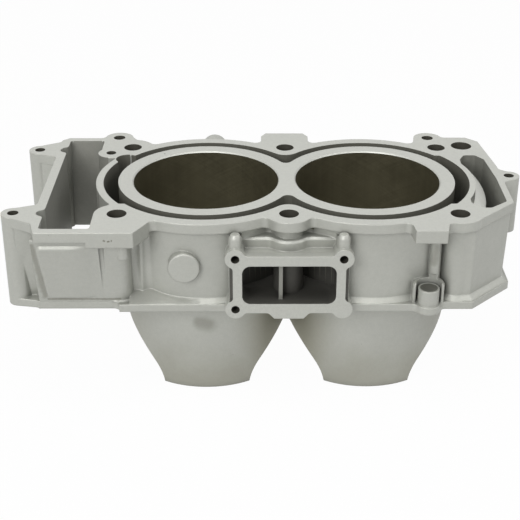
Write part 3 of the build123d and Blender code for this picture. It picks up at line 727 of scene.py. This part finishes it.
MARKS_AND_CREASE_SHADE: tuple[Stroke, ...] = (
    # Pores and nicks.
    Stroke((0.01464, -0.05468, 0.05062), (0.0146, -0.0547, 0.0508), 0.0018, 1.0),
    Stroke((-0.1092, -0.0810, 0.0550), (-0.1085, -0.0810, 0.0547), 0.0007, 0.7),
    Stroke((-0.1068, -0.0810, 0.0543), (-0.1062, -0.0810, 0.0545), 0.0008, 0.8),
    Stroke((-0.1046, -0.0810, 0.0546), (-0.1045, -0.0810, 0.0552), 0.0006, 0.7),
    # Broad faint dark patches.
    Stroke((-0.0560, -0.0545, -0.0152), (-0.0500, -0.0545, -0.0165), 0.0065, 0.4),
    Stroke((0.0890, -0.0620, 0.0300), (0.0900, -0.0620, 0.0400), 0.0050, 0.4),
    # Painted shade in the creases along the left edge and the foot of the tunnel's panel.
    Stroke((-0.1524, -0.0765, 0.0495), (-0.1490, -0.0648, 0.0095), 0.0028, 0.4),
    Stroke((-0.1475, -0.0643, 0.0070), (-0.1035, -0.0643, 0.0068), 0.0013, 0.55),
)

FINISHES: dict[Region, Finish] = {
    Region.SKIN: CastSkin("cast_skin", srgb(176, 177, 170), metallic=0.4, roughness=0.45, edge=0.0012,
                          relief=0.000015, marks_and_crease_shade=MARKS_AND_CREASE_SHADE),
    Region.DECK: MilledFace("milled_deck", srgb(188, 189, 182), roughness=0.42, edge=0.0003, relief=0.00001),
    Region.FLANGE: MilledFace("milled_flange", srgb(182, 183, 176), roughness=0.45, edge=0.0003,
                              relief=0.00001),
    Region.BORE: PlatedBore("plated_bore", srgb(92, 88, 70), metallic=0.6, roughness=0.38, relief=0.00001),
    # Painted shade: the jacket, the drilled holes, the tunnel, the drain, the window and its rib wear darker
    # copies of the cast skin, for the shade in these hollows.
    Region.JACKET: CastSkin("jacket_skin", srgb(104, 103, 94), roughness=0.65, edge=0.0001, edge_wear_and_highlight=0.0),
    Region.DRILLED: CastSkin("drilled_hole", srgb(84, 82, 74), roughness=0.5, edge=0.0002, edge_wear_and_highlight=0.0),
    Region.TUNNEL: CastSkin("tunnel_skin", srgb(140, 140, 133), roughness=0.65, patches=0.5),
    Region.DRAIN: CastSkin("drain_skin", srgb(128, 128, 121), roughness=0.6),
    Region.PORT: CastSkin("port_skin", srgb(80, 79, 74), roughness=0.6, edge=0.0001, edge_wear_and_highlight=0.0),
    Region.RIB: CastSkin("port_rib", srgb(140, 140, 133), roughness=0.5),
    # Painted light: the drain ramp wears a far paler copy of the cast skin, for the light falling on it.
    Region.RAMP: CastSkin("drain_ramp", srgb(240, 241, 235), metallic=0.3, roughness=0.4),
    # Painted shade: the spot face wears a dark copy of the cast skin, for the shade on its recessed floor.
    Region.SPOT: CastSkin("spot_face", srgb(96, 96, 89), roughness=0.45),
}


@dataclass(frozen=True)
class Faces:
    """The triangles of a mesh as arrays."""

    corners: np.ndarray
    centre: np.ndarray
    normal: np.ndarray

    @staticmethod
    def of(mesh: bpy.types.Mesh) -> Faces:
        """Reads a mesh of triangles.

        Args:
            mesh: The mesh to read.

        Returns:
            Its corners, centres and unit normals.
        """
        points = np.empty(len(mesh.vertices) * 3)
        mesh.vertices.foreach_get("co", points)
        index = np.empty(len(mesh.loops), np.int32)
        mesh.loops.foreach_get("vertex_index", index)
        corners = points.reshape(-1, 3)[index].reshape(-1, 3, 3)
        normal = np.cross(corners[:, 1] - corners[:, 0], corners[:, 2] - corners[:, 0])
        normal /= np.maximum(np.linalg.norm(normal, axis=1, keepdims=True), 1e-12)
        return Faces(corners, corners.mean(axis=1), normal)

    def within(self, box: Box) -> np.ndarray:
        """Says which triangles have their centre in a box."""
        return ((self.centre > box[0]) & (self.centre < box[1])).all(axis=1)

    def face(self, box: Box) -> np.ndarray:
        """Says which triangles are turned towards the upright line through the middle of a box."""
        middle = (np.array(box[0]) + np.array(box[1])) / 2
        return ((self.centre - middle)[:, :2] * self.normal[:, :2]).sum(axis=1) <= 0


@dataclass
class Casting:
    """The block itself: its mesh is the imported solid, and its faces are dressed region by region.

    The drilled holes are listed as x, y and radius, and the tapped ones as x, z and radius. The values
    level, steep, squarely, halfway and sloped are limits for one part of a face's unit normal.
    """

    node: str = "cylinder_block"
    bore_x: float = 0.052
    bore_radius: float = 0.0465
    barrel_radius: float = 0.05625
    jacket_reach: float = 0.0662
    deck_z: float = 0.060
    jacket_floor_z: float = 0.0094
    skirt_z: float = -0.064
    port_y: float = -0.077
    port_half: float = 0.041
    drilled: tuple[Point, ...] = (
        (0.104, 0.0541, 0.006), (0.104, -0.0541, 0.006), (-0.104, 0.0541, 0.006), (-0.104, -0.0541, 0.006),
        (0.0, 0.0541, 0.006), (0.0, -0.0541, 0.006), (0.1218, 0.0574, 0.007), (-0.1177, 0.0441, 0.0033),
        (0.1448, 0.0049, 0.0033), (-0.1665, 0.0494, 0.0034), (-0.1665, -0.0529, 0.0034),
        (0.1003, 0.0724, 0.004), (-0.115, 0.0724, 0.004))
    tapped: tuple[Point, ...] = (
        (0.0325, 0.0403, 0.0026), (-0.0325, 0.0403, 0.0026), (-0.0325, 0.0063, 0.0026))
    tapped_depth: float = 0.02
    tunnel: Box = ((-0.1515, -0.066, -0.001), (-0.1190, 0.066, 0.0598))
    window: Box = ((-0.036, -0.0768, 0.0090), (0.036, -0.030, 0.0370))
    rib: Box = ((-0.0095, -0.0768, 0.0095), (0.0, -0.067, 0.0365))
    drain: Box = ((0.112, -0.045, -0.001), (0.1375, 0.042, 0.0599))
    jacket_pockets: float = 0.0735
    middle_pocket: Couple = (0.0155, 0.04965)
    chamfer: float = 0.001
    spot: Point = (0.0862, -0.066, 0.0154)
    spot_radius: float = 0.0056
    spot_depth: float = 0.003
    level: float = 0.99
    steep: float = 0.3
    sloped: Couple = (0.2, 0.9)
    squarely: float = 0.9
    halfway: float = 0.5
    crease: float = radians(32)
    tolerance: float = 0.00012
    weld_steps: float = 1e6

    def build(self, frame: dict[str, Any]) -> bpy.types.Object:
        """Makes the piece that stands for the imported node.


        Returns:
            The dressed piece.
        """
        mesh = self.merged(frame["nodes"][self.node].data)
        piece = bpy.data.objects.new("block_casting", mesh)
        bpy.context.scene.collection.objects.link(piece)
        self.dress(mesh)
        weighted = piece.modifiers.new("flat faces stay flat", "WEIGHTED_NORMAL")
        weighted.keep_sharp = True
        weighted.weight = 100
        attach(piece, BODY)
        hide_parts(self.node)
        return piece

    def merged(self, source: bpy.types.Mesh) -> bpy.types.Mesh:
        """Copies a mesh of loose triangles and joins the corners that share a place.

        Args:
            source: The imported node's mesh, which isn't changed.

        Returns:
            A new mesh with shared corners, smooth except at its creases.
        """
        points = np.empty(len(source.vertices) * 3)
        source.vertices.foreach_get("co", points)
        index = np.empty(len(source.loops), np.int32)
        source.loops.foreach_get("vertex_index", index)
        keys = np.round(points.reshape(-1, 3) * self.weld_steps).astype(np.int64)
        _, first, back = np.unique(keys, axis=0, return_index=True, return_inverse=True)
        triangles = back.reshape(-1)[index].reshape(-1, 3)
        a, b, c = triangles.T
        triangles = triangles[(a != b) & (b != c) & (c != a)]
        mesh = bpy.data.meshes.new("block_casting")
        mesh.from_pydata(points.reshape(-1, 3)[first].tolist(), [], triangles.tolist())
        mesh.validate()
        mesh.polygons.foreach_set("use_smooth", np.ones(len(mesh.polygons), bool))
        mesh.set_sharp_from_angle(angle=self.crease)
        return mesh

    def dress(self, mesh: bpy.types.Mesh) -> None:
        """Gives every face the finish of the region that it lies in.

        Args:
            mesh: The casting's mesh.
        """
        faces = Faces.of(mesh)
        order = list(Region)
        index = np.zeros(len(mesh.polygons), np.int32)
        for region in order:
            mesh.materials.append(FINISHES[region].material())
        for region, mask in self.masks(faces):
            index[mask] = order.index(region)
        mesh.polygons.foreach_set("material_index", index)
        for region in order:
            log.info("%s: %d faces", region.value, int((index == order.index(region)).sum()))

    def masks(self, faces: Faces) -> list[tuple[Region, np.ndarray]]:
        """Says which faces lie in each region, later regions over earlier ones.

        Args:
            faces: The casting's triangles.

        Returns:
            Pairs of a region and a mask of its faces.
        """
        x, y, z = faces.centre.T
        nx, ny, nz = faces.normal.T
        from_axis = np.hypot(np.abs(faces.corners[..., 0]) - self.bore_x, faces.corners[..., 1])
        near, far = from_axis.min(axis=1), from_axis.max(axis=1)
        outwards = np.abs(x) - self.bore_x
        radial = (outwards * np.sign(x) * nx + y * ny) / np.maximum(np.hypot(outwards, y), 1e-9)
        inward = radial < 0
        upright = np.abs(nz) < self.steep
        between = (far < self.jacket_reach) & (near > self.barrel_radius - self.tolerance)
        jacket = between & (inward | (far < self.barrel_radius + self.tolerance))
        jacket |= (radial < -self.halfway) & (far < self.jacket_pockets) & (near > self.barrel_radius)
        jacket |= (np.abs(x) < self.middle_pocket[0]) & (np.abs(y) < self.middle_pocket[1])
        jacket &= (z > self.jacket_floor_z - self.tolerance) & (z < self.deck_z - self.tolerance)
        jacket &= upright | (nz > self.squarely)
        deck = (nz > self.level) & (z > self.deck_z - self.tolerance)
        bore_wall = (far < self.bore_radius + self.tolerance) & inward & upright
        bore_edge = (far < self.bore_radius + self.chamfer) & inward & ~upright
        flange = (nz < -self.level) & (np.abs(z) < self.tolerance)
        flange |= (nz < -self.level) & (z < self.skirt_z + self.tolerance)
        port_face = (np.abs(y - self.port_y) < self.tolerance) & (np.abs(x) < self.port_half)
        flange |= (ny < -self.level) & port_face
        drilled = np.zeros(len(x), bool)
        for across, along, radius in self.drilled:
            reach = np.hypot(faces.corners[..., 0] - across, faces.corners[..., 1] - along).max(axis=1)
            drilled |= (reach < radius + self.tolerance) & upright
        for across, height, radius in self.tapped:
            reach = np.hypot(faces.corners[..., 0] - across, faces.corners[..., 2] - height).max(axis=1)
            drilled |= (reach < radius + self.tolerance) & (y < self.port_y + self.tapped_depth)
        tunnel = faces.within(self.tunnel) & (faces.face(self.tunnel) | (np.abs(nz) > self.halfway))
        window = faces.within(self.window)
        rib = faces.within(self.rib) & (ny < -self.squarely)
        beyond = np.hypot(x - self.bore_x, y) > self.jacket_reach + self.tolerance
        drain = faces.within(self.drain) & beyond & (faces.face(self.drain) | ~upright)
        ramp = drain & (nz > self.sloped[0]) & (nz < self.sloped[1])
        spot_x, spot_y, spot_z = self.spot
        spot = (np.hypot(x - spot_x, y - spot_y) < self.spot_radius) & (np.abs(z - spot_z) < self.spot_depth)
        return [(Region.TUNNEL, tunnel), (Region.JACKET, jacket), (Region.PORT, window), (Region.RIB, rib),
                (Region.DRAIN, drain), (Region.RAMP, ramp), (Region.DECK, deck | bore_edge),
                (Region.FLANGE, flange), (Region.DRILLED, drilled), (Region.BORE, bore_wall),
                (Region.SPOT, spot)]


def sheet(name: str, grids: list[np.ndarray], finish: Finish) -> bpy.types.Object:
    """Joins grids of points into one smooth piece of quads that rides on the block.

    Args:
        name: The piece's name.
        grids: Arrays of points, rows by columns by 3, whose faces look along row step cross column step.
        finish: What the piece wears.

    Returns:
        The new piece.
    """
    quads, start = [], 0
    for grid in grids:
        corner = start + np.arange(grid.shape[0] * grid.shape[1]).reshape(grid.shape[:2])
        around = (corner[:-1, :-1], corner[1:, :-1], corner[1:, 1:], corner[:-1, 1:])
        quads.append(np.stack(around, axis=-1).reshape(-1, 4))
        start += corner.size
    mesh = bpy.data.meshes.new(name)
    points = np.concatenate([grid.reshape(-1, 3) for grid in grids])
    mesh.from_pydata(points.tolist(), [], np.concatenate(quads).tolist())
    mesh.polygons.foreach_set("use_smooth", np.ones(len(mesh.polygons), bool))
    mesh.materials.append(finish.material())
    piece = bpy.data.objects.new(name, mesh)
    bpy.context.scene.collection.objects.link(piece)
    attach(piece, BODY)
    return piece


@dataclass(frozen=True)
class TunnelPanel:
    """The soft raised panel on the drafted front wall of the chain tunnel."""

    left_top: float = -0.1513
    left_foot: float = -0.1482
    right: float = -0.1150
    foot_z: float = 0.0078
    top_z: float = 0.0494
    corner: float = 0.0045
    roll: float = 0.0026
    fade: float = 0.0140
    thickness: float = 0.0018
    sunk: float = 0.0003
    margin: float = 0.0015
    wall_y: float = -0.0649
    wall_z: float = 0.00943
    wall_slope: float = -0.2865
    counts: tuple[int, int] = (90, 110)

    def build(self) -> bpy.types.Object:
        """Makes the panel as a height over the wall on a grid across and up.

        The height is the thickness times the sine of the distance to the panel's left, lower and upper
        edges, with rounded corners, and it fades out towards the right. Beyond the edges the sheet lies
        sunk in the wall.

        Returns:
            The panel.
        """
        across = np.linspace(self.left_top - self.margin, self.right + self.margin, self.counts[0])
        up = np.linspace(self.foot_z - self.margin, self.top_z + self.margin / 2, self.counts[1])
        x, z = np.meshgrid(across, up, indexing="ij")
        rise = (z - self.foot_z) / (self.top_z - self.foot_z)
        left = self.left_foot + (self.left_top - self.left_foot) * rise
        side = x - left
        edge = np.minimum(z - self.foot_z, self.top_z - z)
        bent = np.hypot(np.minimum(side - self.corner, 0.0), np.minimum(edge - self.corner, 0.0))
        step = np.clip((self.corner - bent) / self.roll, 0.0, 1.0)
        fade = np.clip((self.right - x) / self.fade, 0.0, 1.0)
        raised = self.thickness * fade * fade * (3.0 - 2.0 * fade)
        height = (raised + self.sunk) * np.sin(step * np.pi / 2) - self.sunk
        y = self.wall_y + self.wall_slope * (z - self.wall_z)
        tilt = np.hypot(1.0, self.wall_slope)
        grid = np.stack((x, y - height / tilt, z + height * self.wall_slope / tilt), axis=-1)
        return sheet("tunnel_panel", [grid], FINISHES[Region.SKIN])


@dataclass(frozen=True)
class PortThreads:
    """The threads in the tapped holes of the coolant flange."""

    holes: tuple[Couple, ...] = ((0.0325, 0.0403), (-0.0325, 0.0403), (-0.0325, 0.0063))
    mouth_y: float = -0.0762
    root: float = 0.00262
    crest: float = 0.00232
    pitch: float = 0.0010
    foot: float = 0.42
    turns: int = 12
    steps: int = 28

    def build(self) -> bpy.types.Object:
        """Carries a three-cornered ridge along a helix in each hole.

        A point of the ridge lies at the hole's axis plus its radius times the cosine and sine of the turn,
        and the depth grows by one pitch a turn. The ridge's foot lies just inside the wall of the hole.

        Returns:
            The threads of all the holes, as one piece.
        """
        turn = np.linspace(0.0, tau * self.turns, self.turns * self.steps + 1)[:, None]
        radius = np.array([self.root, self.crest, self.root])[None, :]
        offset = np.array([-self.foot, 0.0, self.foot])[None, :] * self.pitch
        depth = self.mouth_y + self.pitch * (turn / tau + 0.5) + offset
        across, up = radius * np.cos(turn), radius * np.sin(turn)
        grids = [np.stack((x + across, depth, z + up), axis=-1) for x, z in self.holes]
        # The threads wear the drilled holes' dark copy of the cast skin, which is painted shade.
        return sheet("port_threads", grids, FINISHES[Region.DRILLED])


@dataclass(frozen=True)
class Viewpoint:
    """The pinhole camera that was worked out from the picture, with its frame in pixels."""

    focal: float = 1175.865
    frame: float = 520.0
    shift: float = -20.0
    place: Point = (-0.020706, -0.699658, 0.358120)
    pitch: float = 0.471962
    yaw: float = 0.0239790
    roll: float = 0.00960367
    sensor: float = 36.0

    def build(self) -> bpy.types.Object:
        """Makes the camera and turns it by its pitch, yaw and roll.

        Returns:
            The camera's object.
        """
        forward = Vector((sin(self.yaw) * cos(self.pitch), cos(self.yaw) * cos(self.pitch), -sin(self.pitch)))
        level = Vector((cos(self.yaw), -sin(self.yaw), 0.0))
        steep = level.cross(forward)
        side = cos(self.roll) * level + sin(self.roll) * steep
        top = cos(self.roll) * steep - sin(self.roll) * level
        lens = bpy.data.cameras.new("viewpoint")
        lens.sensor_width = self.sensor
        lens.lens = self.sensor * self.focal / self.frame
        lens.shift_x = self.shift / self.frame
        camera = bpy.data.objects.new("viewpoint", lens)
        bpy.context.scene.collection.objects.link(camera)
        columns = Matrix((side, top, -forward)).transposed().to_4x4()
        camera.matrix_world = Matrix.Translation(Vector(self.place)) @ columns
        bpy.context.scene.camera = camera
        return camera


@dataclass(frozen=True)
class Lamp:
    """A square soft light that faces the block."""

    name: str
    place: Point
    power: float
    size: float
    aim: Point = (0.0, 0.0, 0.0)

    def build(self) -> bpy.types.Object:
        """Makes the light and turns it towards its aim.

        Returns:
            The light's object.
        """
        light = bpy.data.lights.new(self.name, "AREA")
        light.energy = self.power
        light.size = self.size
        lamp = bpy.data.objects.new(self.name, light)
        bpy.context.scene.collection.objects.link(lamp)
        lamp.location = self.place
        towards = Vector(self.aim) - Vector(self.place)
        lamp.rotation_euler = towards.to_track_quat("-Z", "Y").to_euler()
        return lamp


@dataclass(frozen=True)
class Studio:
    """The pale floor, the white surroundings and the soft lights."""

    floor_z: float = -0.064
    floor_half: float = 4.0
    floor_colour: Colour = (0.72, 0.72, 0.72)
    floor_roughness: float = 0.9
    floor_glow: float = 0.97
    sky: float = 0.34
    lamps: tuple[Lamp, ...] = (
        Lamp("overhead", (-0.1, -0.3, 1.5), 10.0, 0.9),
        Lamp("front", (-0.8, -1.5, 0.95), 17.0, 0.9),
        Lamp("right", (1.2, -0.4, 1.1), 4.5, 0.7),
    )

    def build(self) -> None:
        """Makes the floor, the world and the lamps."""
        self.lay_floor()
        self.surround()
        for lamp in self.lamps:
            lamp.build()

    def seen_directly(self, wiring: Wiring) -> Socket:
        """Adds up the camera, glossy and transmission rays, which see the surroundings as white.

        Args:
            wiring: The node tree of the floor's material or of the world.

        Returns:
            1 for those rays and 0 for the others.
        """
        rays = wiring.add("ShaderNodeLightPath").outputs
        direct = wiring.math("ADD", rays["Is Camera Ray"], rays["Is Glossy Ray"])
        total = wiring.math("ADD", direct, rays["Is Transmission Ray"])
        return wiring.math("MINIMUM", total, 1.0)

    def lay_floor(self) -> bpy.types.Object:
        """Makes a flat floor under the skirts that glows white to the camera and keeps the shadow.

        Returns:
            The floor.
        """
        half = self.floor_half
        corners = np.array([(-1, -1), (1, -1), (1, 1), (-1, 1)]) * half
        points = np.column_stack((corners, np.full(4, self.floor_z)))
        mesh = bpy.data.meshes.new("floor")
        mesh.from_pydata(points.tolist(), [], [(0, 1, 2, 3)])
        material = bpy.data.materials.new("floor")
        material.use_nodes = True
        wiring = Wiring(material.node_tree)
        nodes = material.node_tree.nodes
        shader = nodes["Principled BSDF"]
        shader.inputs["Base Color"].default_value = (*self.floor_colour, 1.0)
        shader.inputs["Roughness"].default_value = self.floor_roughness
        glow = wiring.add("ShaderNodeEmission", {"Color": (1.0, 1.0, 1.0), "Strength": 1.0})
        share = wiring.math("MULTIPLY", self.seen_directly(wiring), self.floor_glow)
        mixed = wiring.add("ShaderNodeMixShader", {0: share, 1: shader.outputs[0], 2: glow.outputs[0]})
        wiring.set(nodes["Material Output"].inputs["Surface"], mixed.outputs[0])
        mesh.materials.append(material)
        floor = bpy.data.objects.new("floor", mesh)
        bpy.context.scene.collection.objects.link(floor)
        return floor

    def surround(self) -> None:
        """Makes the world white to the eye and of a plain strength as a light."""
        world = bpy.data.worlds.new("studio")
        bpy.context.scene.world = world
        world.use_nodes = True
        wiring = Wiring(world.node_tree)
        sky = world.node_tree.nodes["Background"]
        sky.inputs["Color"].default_value = (1.0, 1.0, 1.0, 1.0)
        strength = wiring.spread(self.seen_directly(wiring), 0.0, 1.0, self.sky, 1.0)
        wiring.set(sky.inputs["Strength"], strength)


def main() -> None:
    """Loads the frame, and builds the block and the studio."""
    logging.basicConfig(level=logging.INFO, format="%(name)s: %(message)s")
    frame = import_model()
    bpy.context.scene.view_settings.view_transform = "Standard"
    for piece in (Casting().build(frame), TunnelPanel().build(), PortThreads().build()):
        log.info("%s has %d faces", piece.name, len(piece.data.polygons))
    Viewpoint().build()
    Studio().build()


if __name__ == "__main__":
    main()
